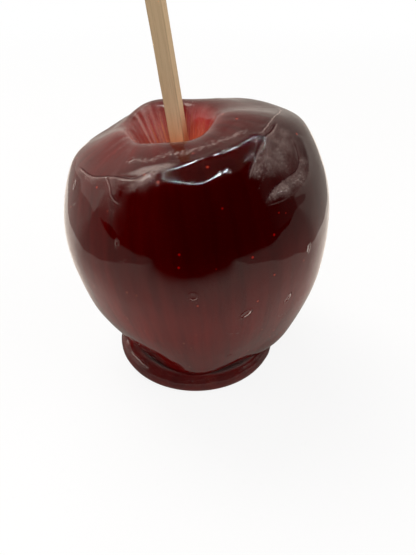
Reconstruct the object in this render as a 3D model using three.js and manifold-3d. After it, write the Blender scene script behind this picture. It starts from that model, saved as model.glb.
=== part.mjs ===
// A toffee apple standing on its own set toffee: an apple with broad shoulders and five
// lobes, the clear hard toffee that it was dipped in, with the round foot that ran down and
// set under it, and the square wooden stick in its stem hollow.
// Millimetres, +Z up, floor at z = 0, front towards -Y. Angles are in degrees.

import * as THREE from 'three';
import { mergeVertices } from 'three/addons/utils/BufferGeometryUtils.js';
import Module from 'manifold-3d';

// ---------------------------------------------------------------- driving dimensions

// Glossy outside of the toffee as [radius, height], from the middle of the stem hollow,
// over the rim and shoulder, down the flank and out over the foot.
const OUTSIDE = {
  hollowFloor: [0, 69.0],
  hollowWall: [9.4, 75.0],
  rim: [15.8, 85.9],
  crown: [25.6, 85.1],
  shoulder: [36.4, 79.8],
  widest: [43.2, 60.5],
  flank: [41.0, 36.0],
  taper: [32.2, 14.8],
  ankle: [26.2, 7.4],
  groove: [25.4, 5.5],
  ridge: [27.2, 5.5],
  footTop: [28.9, 4.5],
  footSide: [29.5, 2.2],
  footToe: [29.0, 0.5],
};
const SOLE_RADIUS = 28.2;

const COAT = 1.8;            // thickness of the toffee on the apple
const GAP = 0.3;             // clearance kept between touching pieces

// Underside of the apple inside the foot, as [radius, height, station along the outside].
const SEAT = [[22.0, 7.2, 8.0], [16.5, 5.4, 8.7], [8.5, 4.6, 9.3], [0, 4.6, 9.6]];
const SEAT_START = 7.4;

// The apple leans to the left and a touch forward on its foot.
const LEAN_LEFT = 8.2;
const LEAN_FORWARD = 1.0;
const BODY_CENTRE = [7.6, 1.0];
const FOOT_CENTRE = [-0.6, -1.0];
const GROOVE_SHIFT = [1.4, -0.6];

// Sideways drift of the apple's own middle at the hollow, shoulder, widest part and flank.
const HOLLOW_SHIFT = [-2.8, 1.6];
const SHOULDER_SHIFT = [1.0, 0.9];
const WAIST_SHIFT = [0.4, 0];
const FLANK_SHIFT = [-1.5, 0.3];

// Five lobes: knobs on the shoulder, and ribs that deepen and hang lower towards the base.
const LOBES = { count: 5, phase: -97, shoulderRise: 0.6, ribDepth: 0.05, ribDrop: 1.4 };

// The uneven rim: how the rim and the shoulder rise and fall, in mm, and how the hollow goes
// in and out, as a share of its radius. Cosines as [how many to a turn, size, first crest].
const RIM_WAVES = [[0, 0.7, 0], [1, 0.65, -25], [2, 0.5, -52], [3, 0.65, -21]];
const SHOULDER_WAVES = [[1, 1.0, -78]];
const HOLLOW_WAVES = [[2, 0.13, -72]];

// The stick: a square lath with softened edges, driven into the core.
const STICK = {
  side: 4.7,
  length: 114,
  edge: 0.4,
  top: 133,
  leanLeft: 7.8,
  leanBack: 2.5,
  turn: -13.5,
  axisAt: [-4.55, 2.0, 75],
};

// How finely the round surfaces are divided.
const OUTSIDE_ROWS_PER_STATION = 5;
const OUTSIDE_COLUMNS = 48;
const CORE_ROWS_PER_STATION = 4;
const CORE_COLUMNS = 36;

const MATERIALS = {
  apple: new THREE.MeshStandardMaterial({ color: 0x8c1c1a, roughness: 0.45, metalness: 0 }),
  toffee: new THREE.MeshStandardMaterial({ color: 0x4a0d0f, roughness: 0.06, metalness: 0 }),
  wood: new THREE.MeshStandardMaterial({ color: 0xa88e70, roughness: 0.75, metalness: 0 }),
};

// ---------------------------------------------------------------- helpers

const { degToRad, smoothstep } = THREE.MathUtils;
const wasm = await Module();
wasm.setup();

// Number of each named station along the outside, counted from the hollow.
const STATION = Object.fromEntries(Object.keys(OUTSIDE).map((name, index) => [name, index]));

const rise = (from, to, station) => smoothstep(station, from, to);
const fall = (from, to, station) => 1 - smoothstep(station, from, to);

// One closed body, its shared vertices merged and its collapsed pole triangles left out.
function solidFrom(geometry) {
  const bare = geometry.clone();
  bare.deleteAttribute('normal');
  bare.deleteAttribute('uv');
  const merged = mergeVertices(bare, 1e-4);
  const index = merged.index.array;
  const triangles = [];
  for (let i = 0; i < index.length; i += 3) {
    const [a, b, c] = [index[i], index[i + 1], index[i + 2]];
    if (a !== b && b !== c && c !== a) triangles.push(a, b, c);
  }
  return new wasm.Manifold(new wasm.Mesh({
    numProp: 3,
    vertProperties: new Float32Array(merged.attributes.position.array),
    triVerts: new Uint32Array(triangles),
  }));
}

function geometryFrom(solid) {
  const { vertProperties, triVerts } = solid.getMesh();
  const geometry = new THREE.BufferGeometry();
  geometry.setAttribute('position', new THREE.BufferAttribute(new Float32Array(vertProperties), 3));
  geometry.setIndex(new THREE.BufferAttribute(new Uint32Array(triVerts), 1));
  geometry.computeVertexNormals();
  return geometry;
}

// ---------------------------------------------------------------- form of the dipped apple

const LEAN = new THREE.Matrix4().makeRotationX(degToRad(LEAN_FORWARD))
  .multiply(new THREE.Matrix4().makeRotationY(degToRad(-LEAN_LEFT)));

// Middle of the apple at a station, before it leans.
function drift(station, axis) {
  const inHollow = fall(STATION.hollowWall + 0.5, STATION.shoulder, station);
  const onShoulder = rise(STATION.hollowWall + 0.5, STATION.crown + 0.5, station)
    * fall(STATION.shoulder, STATION.widest + 0.2, station);
  const atWidest = Math.exp(-(((station - STATION.widest) / 0.9) ** 2));
  const onFlank = rise(STATION.widest, STATION.taper + 0.2, station);
  return HOLLOW_SHIFT[axis] * inHollow + SHOULDER_SHIFT[axis] * onShoulder
    + WAIST_SHIFT[axis] * atWidest + FLANK_SHIFT[axis] * onFlank;
}

// Sum of cosines of the angle.
function waves(table, angle) {
  return table.reduce(
    (sum, [order, size, crest]) => sum + size * Math.cos(order * (angle - degToRad(crest))),
    0,
  );
}

// The point of the form at a radius and height of its profile, at a station along the
// outside and an angle about the middle. The foot lies flat, the apple leans on it, and
// the two blend over the taper and ankle.
function formPoint(profileRadius, height, station, angle) {
  const inHollow = rise(STATION.hollowFloor, STATION.hollowWall + 0.2, station)
    * fall(STATION.rim, STATION.crown + 0.2, station);
  const radius = profileRadius * (1 + waves(HOLLOW_WAVES, angle) * inHollow);
  const atRim = rise(STATION.hollowWall, STATION.rim, station)
    * fall(STATION.crown, STATION.widest, station);
  const atShoulder = rise(STATION.rim, STATION.crown + 0.4, station)
    * fall(STATION.crown + 0.8, STATION.widest, station);
  const lobe = Math.cos(LOBES.count * (angle - degToRad(LOBES.phase)));
  const rib = rise(STATION.widest, STATION.ankle - 0.1, station)
    * fall(STATION.ankle, STATION.groove + 0.5, station);
  const hang = rise(STATION.flank + 0.3, STATION.ankle - 0.1, station)
    * fall(STATION.ankle, STATION.groove, station);
  const z = height + (LOBES.shoulderRise * lobe + waves(RIM_WAVES, angle)) * atRim
    + waves(SHOULDER_WAVES, angle) * atShoulder - LOBES.ribDrop * lobe * hang;

  const ribbed = radius * (1 + LOBES.ribDepth * rib * lobe);
  const body = new THREE.Vector3(
    ribbed * Math.cos(angle) + drift(station, 0),
    ribbed * Math.sin(angle) + drift(station, 1),
    z,
  ).applyMatrix4(LEAN);
  body.add(new THREE.Vector3(BODY_CENTRE[0], BODY_CENTRE[1], 0));

  const groove = fall(STATION.groove, STATION.footTop, station);
  const foot = new THREE.Vector3(
    radius * Math.cos(angle) + GROOVE_SHIFT[0] * groove + FOOT_CENTRE[0],
    radius * Math.sin(angle) + GROOVE_SHIFT[1] * groove + FOOT_CENTRE[1],
    z,
  );
  return body.lerp(foot, rise(STATION.flank + 0.6, STATION.ankle + 0.6, station));
}

// Turns profile rows of { radius, height, station }, listed from the base upwards, into a
// closed body of the form.
function bodyFrom(rows, columns) {
  const profile = rows.map((row) => new THREE.Vector2(row.radius, row.height));
  const geometry = new THREE.LatheGeometry(profile, columns);
  const position = geometry.attributes.position;
  for (let i = 0; i < position.count; i += 1) {
    const row = rows[i % rows.length];
    const angle = (2 * Math.PI * Math.floor(i / rows.length)) / columns;
    const point = formPoint(row.radius, row.height, row.station, angle);
    position.setXYZ(i, point.x, point.y, point.z);
  }
  return solidFrom(geometry);
}

const outline = new THREE.SplineCurve(Object.values(OUTSIDE).map(([r, z]) => new THREE.Vector2(r, z)));
const stationCount = STATION.footToe;

// Rows down the outside from the hollow to the toe of the foot, then in across the sole.
function outsideRows() {
  const steps = stationCount * OUTSIDE_ROWS_PER_STATION;
  const rows = outline.getPoints(steps).map((point, i) => ({
    radius: Math.max(point.x, 0),
    height: point.y,
    station: (i / steps) * stationCount,
  }));
  rows.push({ radius: SOLE_RADIUS, height: 0, station: stationCount });
  rows.push({ radius: SOLE_RADIUS / 2, height: 0, station: stationCount });
  rows.push({ radius: 0, height: 0, station: stationCount });
  return rows.reverse();
}

// Rows of the surface that lies a depth under the outside, closed by the seat below.
function coreRows(depth) {
  const steps = Math.round(SEAT_START * CORE_ROWS_PER_STATION);
  const rows = [];
  for (let i = 0; i <= steps; i += 1) {
    const station = (i / steps) * SEAT_START;
    const t = station / stationCount;
    const point = outline.getPoint(t);
    const along = outline.getTangent(t);
    const radius = i === 0 ? 0 : point.x - along.y * -depth;
    rows.push({ radius: Math.max(radius, 0), height: point.y - along.x * depth, station });
  }
  const lift = depth - COAT;
  for (const [radius, height, station] of SEAT) {
    rows.push({ radius: Math.max(radius - lift, 0), height: height + lift, station });
  }
  return rows.reverse();
}

// ---------------------------------------------------------------- the stick

const STICK_PLACE = new THREE.Matrix4().compose(
  new THREE.Vector3(...STICK.axisAt),
  new THREE.Quaternion().setFromUnitVectors(
    new THREE.Vector3(0, 0, 1),
    new THREE.Vector3(
      -Math.tan(degToRad(STICK.leanLeft)),
      Math.tan(degToRad(STICK.leanBack)),
      1,
    ).normalize(),
  ),
  new THREE.Vector3(1, 1, 1),
).multiply(new THREE.Matrix4().makeRotationZ(degToRad(STICK.turn)));

// A square lath with cut corners, grown all round by a clearance.
function lath(clearance, extraTop) {
  const half = STICK.side / 2 + clearance;
  const cut = half - STICK.edge;
  const section = new THREE.Shape([
    [half, -cut], [half, cut], [cut, half], [-cut, half],
    [-half, cut], [-half, -cut], [-cut, -half], [cut, -half],
  ].map(([x, y]) => new THREE.Vector2(x, y)));
  const above = STICK.top - STICK.axisAt[2];
  const length = STICK.length + clearance + extraTop;
  const bevel = STICK.edge;
  const geometry = new THREE.ExtrudeGeometry(section, {
    depth: length - 2 * bevel,
    bevelEnabled: true,
    bevelThickness: bevel,
    bevelSize: bevel,
    bevelOffset: -bevel,
    bevelSegments: 1,
    steps: 1,
  });
  geometry.translate(0, 0, above - STICK.length - clearance + bevel);
  return solidFrom(geometry.applyMatrix4(STICK_PLACE));
}

// ---------------------------------------------------------------- pieces

function piece(name, solid, material) {
  const mesh = new THREE.Mesh(geometryFrom(solid), material);
  mesh.name = name;
  return mesh;
}

const stickHole = lath(GAP, 10);

// The set toffee: everything between the glossy outside and the room for the apple.
function makeToffeeCoat() {
  const outside = bodyFrom(outsideRows(), OUTSIDE_COLUMNS);
  const room = bodyFrom(coreRows(COAT), CORE_COLUMNS);
  return piece('toffee_coat', outside.subtract(room).subtract(stickHole), MATERIALS.toffee);
}

function makeApple() {
  const core = bodyFrom(coreRows(COAT + GAP), CORE_COLUMNS);
  return piece('apple', core.subtract(stickHole), MATERIALS.apple);
}

function makeStick() {
  return piece('stick', lath(0, 0), MATERIALS.wood);
}

const group = new THREE.Group();
group.add(makeApple(), makeToffeeCoat(), makeStick());

export default group;
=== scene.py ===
"""Toffee apple: a lobed red apple in clear dark red hard toffee, on the round foot of set
toffee that ran down under it, with a square wooden stick leaning in its stem hollow.

Every surface is a function of two parameters, an angle about the middle and a station along
the outline from the stem hollow to the foot, worked out in millimetres as whole arrays.
"""

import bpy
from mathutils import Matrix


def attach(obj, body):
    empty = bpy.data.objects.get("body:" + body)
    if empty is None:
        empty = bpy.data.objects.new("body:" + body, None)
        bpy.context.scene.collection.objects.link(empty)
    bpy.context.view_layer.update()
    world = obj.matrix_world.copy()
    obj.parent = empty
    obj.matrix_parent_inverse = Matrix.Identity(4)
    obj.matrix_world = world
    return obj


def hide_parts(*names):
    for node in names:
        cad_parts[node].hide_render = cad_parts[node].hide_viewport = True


bl_info = {
    "name": "Toffee Apple",
    "version": (1, 0, 0),
    "blender": (4, 5, 0),
    "location": "View3D > Sidebar > Toffee Apple",
    "description": "Builds a toffee apple with its glossy coat, its stick and a plain stage",
    "category": "Add Mesh",
}

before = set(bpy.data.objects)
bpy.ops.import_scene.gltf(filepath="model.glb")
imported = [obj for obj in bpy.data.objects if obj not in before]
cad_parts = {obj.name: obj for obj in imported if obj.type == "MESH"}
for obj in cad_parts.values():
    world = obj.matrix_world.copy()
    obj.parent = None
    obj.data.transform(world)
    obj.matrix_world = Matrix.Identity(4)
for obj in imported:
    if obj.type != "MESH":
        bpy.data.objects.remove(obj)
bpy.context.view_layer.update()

import math

import bpy
import numpy as np
from mathutils import Vector

MM = 0.001

# ------------------------------------------------------------------ the form

# Glossy outside of the toffee as (radius, height) in mm, from the middle of the stem hollow
# over the rim and shoulder, down the flank and out over the foot. Its stations are numbered
# from 0 in this order, with fractions between them, and k stands for a station below.
OUTSIDE = {
    "hollow_floor": (0.0, 69.0),
    "hollow_wall": (9.4, 75.0),
    "rim": (15.8, 85.9),
    "crown": (25.6, 85.1),
    "shoulder": (36.4, 79.8),
    "widest": (43.2, 60.5),
    "flank": (41.0, 36.0),
    "taper": (32.2, 14.8),
    "ankle": (26.2, 7.4),
    "groove": (25.4, 5.5),
    "ridge": (27.2, 5.5),
    "foot_top": (28.9, 4.5),
    "foot_side": (29.5, 2.2),
    "foot_toe": (29.0, 0.5),
}
PROFILE = np.array(list(OUTSIDE.values()))
LAST_STATION = len(PROFILE) - 1
SOLE_RADIUS = 28.2

# Underside of the apple inside the foot, as (radius, height, station), under toffee of the
# seat's depth in mm.
SEAT = np.array([(22.0, 7.2, 8.0), (16.5, 5.4, 8.7), (8.5, 4.6, 9.3), (0.0, 4.6, 9.6)])
SEAT_START, SEAT_DEPTH = 7.4, 1.8

# Rows of the toffee and of what is under it, as (first station, last station, count), and
# their columns.
TOFFEE_ROWS = [(0, 1, 10), (1, 2, 12), (2, 3, 28), (3, 4.5, 72), (4.5, 5, 16), (5, 6, 48),
               (6, 7, 26), (7, 8, 14), (8, 10, 20), (10, 13, 12)]
CORE_ROWS = [(0, 1, 14), (1, 2.5, 18), (2.5, 5, 40), (5, SEAT_START, 30)]
TOFFEE_COLUMNS, APPLE_COLUMNS, INSIDE_COLUMNS = 340, 240, 72

# How far the toffee's inside reaches into the apple's skin, in mm, so that no gap shows.
INTO_SKIN = 0.15

LEAN_LEFT, LEAN_FORWARD = 8.2, 1.0
BODY_CENTRE = np.array([7.6, 1.0])
FOOT_CENTRE = np.array([-0.6, -1.0])
GROOVE_SHIFT = np.array([1.4, -0.6])
HOLLOW_SHIFT = np.array([-2.8, 1.6])
SHOULDER_SHIFT = np.array([1.0, 0.9])
WAIST_SHIFT = np.array([0.4, 0.0])
FLANK_SHIFT = np.array([-1.5, 0.3])
LOBE_COUNT, LOBE_PHASE = 5, -97.0
SHOULDER_RISE, RIB_DEPTH, RIB_DROP = 0.6, 0.05, 1.4

# Radius of the stem hollow's wall in mm, the angle where the hollow is most orange, and the
# angle on the left where the skin is painted lighter, as painted light from that side.
HOLLOW_WIDTH, SUNNY_SIDE, PAINTED_LIGHT_SIDE = 9, -10, -165

# How the rim and the shoulder rise and fall, in mm, and how the hollow goes in and out, as a
# share of its radius: cosines as (how many to a turn, size, angle of the first crest).
RIM_WAVES = [(0, 0.7, 0.0), (1, 0.65, -25.0), (2, 0.5, -52.0), (3, 0.65, -21.0)]
SHOULDER_WAVES = [(1, 1.0, -78.0)]
HOLLOW_WAVES = [(2, 0.13, -72.0)]

STICK_SIDE, STICK_LENGTH, STICK_TOP = 4.7, 114.0, 133.0
STICK_LEAN_LEFT, STICK_LEAN_BACK, STICK_TURN = 7.8, 2.5, -13.5
STICK_AT = np.array([-4.55, 2.0, 75.0])
# Heights in mm below which the stick's warm tint is full and above which it is gone: partly damp
# with toffee, partly painted red light bounced from the hollow.
STICK_DAMP_AND_BOUNCE, STICK_UNTINTED = 71.0, 91.0


def rise(start, end, at):
    """Smooth step from 0 at start to 1 at end: 3q squared less 2q cubed."""
    q = np.clip((at - start) / (end - start), 0.0, 1.0)
    return q * q * (3.0 - 2.0 * q)


def fall(start, end, at):
    """Smooth step from 1 at start to 0 at end."""
    return 1.0 - rise(start, end, at)


def hump(distance, width):
    """Bell curve: e to the minus square of distance over width."""
    return np.exp(-((distance / width) ** 2))


def spline(points, at):
    """Catmull-Rom curve through evenly numbered points, read at fractional numbers."""
    points = np.asarray(points, float)
    last = len(points) - 1
    i = np.clip(np.floor(at).astype(int), 0, last - 1)
    w = (at - i)[..., None]
    a, b = points[np.maximum(i - 1, 0)], points[i]
    c, d = points[i + 1], points[np.minimum(i + 2, last)]
    out, back = (c - a) / 2, (d - b) / 2
    cube, square = 2 * b - 2 * c + out + back, 3 * c - 3 * b - 2 * out - back
    return cube * w**3 + square * w**2 + out * w + b


def turned_waves(table, angle):
    """Sum of cosines of the angle."""
    return sum(size * np.cos(order * (angle - math.radians(crest))) for order, size, crest in table)


def form_point(radius, height, station, angle):
    """Point of the form. The body is the profile turned about the middle, drifting sideways
    with the station, with five cosine lobes and an uneven rim, leaned to the left and forward.
    The foot is the same profile upright. The two blend over the taper and ankle."""
    k = station
    lobe = np.cos(LOBE_COUNT * (angle - math.radians(LOBE_PHASE)))
    knob = rise(1, 2, k) * fall(3, 5, k)
    rib = rise(5, 7.9, k) * fall(8, 9.5, k)
    hang = rise(6.3, 7.9, k) * fall(8, 9, k)
    radius = radius * (1 + turned_waves(HOLLOW_WAVES, angle) * rise(0, 1.2, k) * fall(2, 3.2, k))
    z = height + SHOULDER_RISE * lobe * knob - RIB_DROP * lobe * hang
    z += turned_waves(RIM_WAVES, angle) * rise(1, 2, k) * fall(3, 5, k)
    z += turned_waves(SHOULDER_WAVES, angle) * rise(2, 3.4, k) * fall(3.8, 5, k)
    drift = (
        HOLLOW_SHIFT * fall(1.5, 4, k)[..., None]
        + SHOULDER_SHIFT * (rise(1.5, 3.5, k) * fall(4, 5.2, k))[..., None]
        + WAIST_SHIFT * hump(k - 5, 0.9)[..., None]
        + FLANK_SHIFT * rise(5, 7.2, k)[..., None]
    )
    ribbed = radius * (1 + RIB_DEPTH * rib * lobe)
    x = ribbed * np.cos(angle) + drift[..., 0]
    y = ribbed * np.sin(angle) + drift[..., 1]
    left, forward = math.radians(LEAN_LEFT), math.radians(LEAN_FORWARD)
    x, up = (
        math.cos(left) * x - math.sin(left) * z,
        math.sin(left) * x + math.cos(left) * z,
    )
    y, up = (
        math.cos(forward) * y - math.sin(forward) * up,
        math.sin(forward) * y + math.cos(forward) * up,
    )
    body = np.stack([x + BODY_CENTRE[0], y + BODY_CENTRE[1], up], -1)
    groove = fall(9, 11, k)
    foot = np.stack(
        [
            radius * np.cos(angle) + GROOVE_SHIFT[0] * groove + FOOT_CENTRE[0],
            radius * np.sin(angle) + GROOVE_SHIFT[1] * groove + FOOT_CENTRE[1],
            z,
        ],
        -1,
    )
    share = rise(6.6, 8.6, k)[..., None]
    return body * (1 - share) + foot * share


def around(count, crowding):
    """Angles once round, closer together towards the front: u less crowding times sin u,
    counted from the front."""
    u = np.arange(count) * (2 * math.pi / count)
    return u - crowding * np.sin(u) - math.pi / 2


def along(spans):
    """Stations for the rows of a grid, evenly spaced inside each (start, end, count) span."""
    parts = [np.linspace(a, b, n, endpoint=False) for a, b, n in spans]
    return np.concatenate(parts + [np.array([float(spans[-1][1])])])


def profile_inside(station, depth):
    """The outline moved inwards by depth, square to itself."""
    step = 1e-3
    low, high = np.maximum(station - step, 0), np.minimum(station + step, LAST_STATION)
    way = spline(PROFILE, high) - spline(PROFILE, low)
    way /= np.linalg.norm(way, axis=-1, keepdims=True)
    point = spline(PROFILE, station)
    radius = np.where(station > 0, point[:, 0] + way[:, 1] * depth, 0.0)
    return np.maximum(radius, 0.0), point[:, 1] - way[:, 0] * depth


def over_grid(station, angle):
    """Station and angle of every point of a grid."""
    return np.meshgrid(station, angle, indexing="ij")


def grid(radius, height, station, angle):
    """The form over every row and column: an array of rows x columns x 3."""
    k, th = over_grid(station, angle)
    return form_point(radius[:, None] + 0 * k, height[:, None] + 0 * k, k, th)


def drawn_out(station, angle, radius, stretch):
    """Places for noise that is drawn out along the outline: a point of a circle, at the
    station times stretch for its height."""
    k, th = over_grid(station, angle)
    return np.stack([radius * np.cos(th), radius * np.sin(th), stretch * k], -1)


def normals(points):
    """Outward unit normals of a grid: the cross product of the way round and the way down."""
    down = np.gradient(points, axis=0)
    across = np.roll(points, -1, 1) - np.roll(points, 1, 1)
    n = np.cross(down, across)
    length = np.linalg.norm(n, axis=-1, keepdims=True)
    n = np.where(length > 1e-9, n / np.maximum(length, 1e-9), 0.0)
    n[0] = n[1].mean(0) / np.linalg.norm(n[1].mean(0))
    n[-1] = n[-2].mean(0) / np.linalg.norm(n[-2].mean(0))
    return n


# ------------------------------------------------------------------ relief of the toffee

# Edges of the lobes of toffee that set as they ran. Each has its (angle in degrees, station)
# nodes, the depth of its gutter, how far that fades before and after the line, and the swell
# of the lobe after it with the distance to its crest.
LOBE_EDGES = [
    ([(-21.2, 3.26), (-31.7, 3.30), (-37.2, 3.40), (-43.0, 3.45), (-47.2, 3.52), (-50.8, 3.64),
      (-54.8, 3.74), (-59.0, 3.83), (-62.2, 3.96), (-64.2, 4.07)], 0.15, 1.0, 0.4, 0.12, 1.8),
    ([(-27.0, 3.72), (-29.8, 3.82), (-30.0, 3.93), (-31.0, 4.04), (-32.3, 4.15), (-34.5, 4.23),
      (-38.2, 4.27), (-44.2, 4.28), (-49.0, 4.28), (-52.5, 4.29), (-56.2, 4.34), (-59.5, 4.40)],
     0.42, 1.5, 0.9, 0.30, 3.0),
    ([(-102.2, 3.59), (-104.2, 3.62), (-108.0, 3.66), (-113.2, 3.66), (-121.5, 3.64),
      (-127.0, 3.63), (-137.8, 3.74), (-143.8, 3.73), (-152.0, 3.73), (-161.2, 3.79)],
     0.20, 1.2, 0.5, 0.16, 1.6),
    ([(-128.0, 3.67), (-124.5, 3.80), (-122.5, 3.93), (-121.2, 4.04), (-118.5, 4.11),
      (-115.5, 4.13)], 0.26, 0.9, 1.0, 0.16, 2.4),
    ([(21, 3.42), (2, 3.24), (-15, 3.22), (-29, 3.26), (-36, 3.20), (-43, 3.16)],
     0.12, 1.2, 0.5, 0.10, 1.5),
    ([(60, 3.3), (68, 3.6), (80, 3.8), (96, 3.74), (108, 3.62)], 0.20, 1.4, 0.8, 0.18, 2.4),
    ([(146, 3.4), (152, 3.7), (163, 3.9), (172, 4.2)], 0.20, 1.4, 0.8, 0.14, 2.4),
]

# Creases that stand up like a tent: nodes, height, and how far each side reaches, left of
# the line first.
TENTS = [
    ([(-102.0, 3.63), (-104.0, 3.70), (-107.5, 3.80), (-109.0, 3.87), (-109.2, 3.96)],
     0.42, 6.0, 2.2),
    ([(-49.5, 3.68), (-44.5, 3.65), (-38.8, 3.70), (-38.0, 3.83), (-39.2, 3.93)], 0.10, 0.7, 0.9),
    ([(-114, 6.11), (-108, 6.05), (-102.5, 6.01), (-97.5, 6.03), (-92.8, 6.08), (-88.8, 6.08)],
     0.10, 0.5, 0.8),
    ([(-103.5, 6.37), (-98.2, 6.32)], 0.12, 0.6, 0.8),
    ([(80, 3.8), (84, 4.05), (83, 4.3)], 0.26, 1.4, 3.0),
]

# Bubbles that broke at the gloss: angle, station, long and short radius in mm, the turn of the
# long way from level in degrees, the direction of the side with a painted highlight on its rim,
# and how bold the pit and its painted highlight and shade are.
BUBBLES = [
    (-71.2, 5.72, 1.75, 0.95, 32, -52, 1.3), (-90.5, 5.28, 1.25, 1.25, 0, -90, 0.32),
    (-50.8, 5.80, 1.60, 0.80, 55, -20, 1.3), (-40.5, 5.24, 1.30, 0.75, 72, -30, 0.8),
    (-117.5, 4.61, 1.05, 0.72, 70, 180, 0.32), (-150.0, 4.07, 1.20, 0.75, 85, 180, 1.0),
    (-117.8, 3.08, 0.90, 0.80, 70, -60, 0.4), (-78.0, 6.62, 0.60, 0.45, 20, -60, 0.4),
    (12, 4.7, 1.0, 0.8, 20, -60, 0.7), (34, 5.6, 1.1, 0.7, 70, -30, 0.8),
    (61, 4.9, 1.5, 0.9, 5, -90, 1.0), (88, 5.9, 0.9, 0.9, 0, -90, 0.5),
    (117, 4.6, 1.2, 0.8, 60, -40, 0.9), (141, 5.4, 1.5, 0.9, 15, -80, 1.0),
    (171, 5.1, 1.0, 0.7, 75, 160, 0.7), (-172, 5.7, 1.1, 0.8, 40, -130, 0.8),
    (47, 3.6, 0.7, 0.6, 0, -90, 0.4), (160, 6.2, 0.9, 0.7, 30, -60, 0.5),
]

# Where toffee hangs lower over the groove: angle and spread in degrees, and height in mm.
SAGS = [(-128, 26, 1.1), (-50, 24, 0.7)]

# The line where the near rim turns down towards the front.
CREST = [(-96, 3.43), (-85.5, 3.37), (-80.8, 3.32), (-74.2, 3.20), (-67.5, 3.12), (-61.2, 3.13),
         (-56.0, 3.20), (-50.5, 3.27), (-46.0, 3.30), (-40.2, 3.28), (-32.5, 3.25)]

# The line of fine wrinkles on the near rim.
FRINGE = [(-120.2, 3.07), (-111, 3.15), (-103.5, 3.16), (-95.8, 3.00), (-88, 3.01), (-81, 2.99),
          (-70.8, 2.89), (-62.2, 2.91), (-54.8, 2.98), (-47.2, 3.01), (-43, 3.13)]

# Creases of the folds: nodes, how deep the crease's cut is and how dark its painted shade line,
# how strong the painted highlight on the edge beside it, and the strength and width in mm of
# the hazy film that starts at the crease. The painted highlight and the film lie on its left.
CREASES = [
    ([(-100.0, 3.49), (-103.0, 3.53), (-107.0, 3.63), (-111.5, 3.69), (-117.2, 3.66),
      (-126.2, 3.64), (-132.5, 3.70), (-139.0, 3.74), (-146.8, 3.73), (-155.0, 3.74)],
     0.7, 0.9, 0.55, 3.4),
    ([(-126.8, 3.68), (-123.2, 3.85), (-121.8, 3.99), (-119.5, 4.08), (-116.8, 4.12)][::-1],
     0.5, 0.7, 0.22, 8.0),
    ([(-109.0, 3.96), (-108.8, 3.90), (-106.2, 3.84), (-103.2, 3.76), (-101.0, 3.66),
      (-100.2, 3.55)], 0.0, 0.7, 0.95, 4.2),
    ([(-27.5, 3.43), (-36.5, 3.50), (-41.8, 3.50), (-46.2, 3.56), (-50.8, 3.64), (-54.5, 3.74),
      (-58.2, 3.85), (-61.3, 3.97), (-62.7, 4.05)], 0.9, 0.8, 0.70, 13.0),
    ([(12.3, 3.40), (-13.5, 3.29), (-23.0, 3.28), (-29.0, 3.30), (-36.8, 3.33), (-40.7, 3.35),
      (-44.0, 3.26)], 0.2, 0.9, 0.0, 1.0),
    ([(-30.2, 3.88), (-30.7, 4.01), (-32.8, 4.16), (-34.3, 4.22), (-38.2, 4.27), (-42.7, 4.27),
      (-48.2, 4.27), (-53.2, 4.30), (-59.3, 4.39)], 0.9, 0.3, 0.0, 1.0),
    ([(-32.0, 4.12), (-34.3, 4.22), (-38.2, 4.27), (-42.7, 4.27), (-48.2, 4.27), (-53.2, 4.30),
      (-59.3, 4.39)], 0.0, 0.0, 0.95, 5.8),
    ([(-32.3, 4.18), (-32.5, 4.29), (-34.8, 4.39), (-40.2, 4.44), (-45.8, 4.44), (-50.5, 4.45),
      (-58.5, 4.42)], 0.0, 0.2, 0.0, 1.0),
    ([(60, 3.3), (68, 3.6), (80, 3.8), (96, 3.74), (108, 3.62)], 0.7, 0.7, 0.5, 3.5),
    ([(146, 3.4), (152, 3.7), (163, 3.9), (172, 4.2)], 0.7, 0.7, 0.5, 4.0),
]

# Lip of the foot at the left, as (angle, station) nodes, with its height and reach in mm.
FOOT_LIP = ([(-178, 9.2), (-160, 9.35), (-140, 9.3), (-120, 9.2), (-104, 9.0)], 0.45, 0.55)

# Milky end of the left fold, with how milky it is and its reach in mm.
FOLD_END = ([(-102.8, 3.66), (-104.5, 3.74), (-106.5, 3.80)], 0.10, 1.5)

# String of small lamps overhead, as (angle about the middle, angle up) in degrees, with how
# many there are, how far away in mm, and the point by the rim that they are round.
LAMP_STRING = [
    (146, 64), (139, 61), (133, 63), (123, 65), (114, 63), (107, 60), (102, 59), (99, 58),
    (97, 57), (96, 57), (94, 57), (92, 58), (88, 60), (84, 59), (64, 63), (42, 64), (27, 66),
    (17, 69), (12, 72), (1, 76), (-10, 80), (-51, 75), (-69, 68), (-79, 61), (-84, 57), (-94, 58),
    (-107, 62), (-127, 66), (-146, 65), (-173, 67),
]
LAMP_COUNT, LAMPS_AWAY, LAMPS_ROUND = 54, 1000, (5, -35, 75)

# Where lamps are smaller, as places along the string's points and how far that reaches.
SMALL_LAMPS = [(0.0, 1.6), (29.5, 1.6), (14.0, 1.5)]

# Soft lamps as name, place and side in metres, and the setting that holds their power.
SOFT_LAMPS = [
    ("key_lamp", (-0.25, 0.40, 0.75), 0.6, "key_power"),
    ("side_lamp", (-0.7, -0.05, 0.35), 0.5, "side_power"),
    ("fill_lamp", (-0.06, -0.40, 0.34), 0.35, "fill_power"),
    ("right_lamp", (0.70, -0.16, 0.30), 0.5, "right_power"),
]

# Windows of the room as a direction, the cosines from it where they end and are full, and the
# setting that holds their brightness.
WINDOWS = [((-0.439, 0.369, 0.819), 0.955, 0.990, "window_left"),
           ((0.557, 0.049, 0.829), 0.88, 0.97, "window_right")]

# Edges of the lit board in metres: left, right and back.
BOARD_EDGES = (-0.165, 0.150, 0.32)

# The camera's place in metres, how far it looks down in degrees, and its focal length as a
# share of the picture's height.
CAMERA_PLACE, CAMERA_DOWN, CAMERA_FOCUS = (0.0038, -0.14997, 0.13512), 35.5, 500 / 555


def on_outside(nodes, samples=48):
    """Smooth curve through (angle, station) nodes on the plain outside, in mm."""
    path = spline(nodes, np.linspace(0, len(nodes) - 1, samples))
    profile = spline(PROFILE, path[:, 1])
    return form_point(profile[:, 0], profile[:, 1], path[:, 1], np.radians(path[:, 0]))


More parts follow.
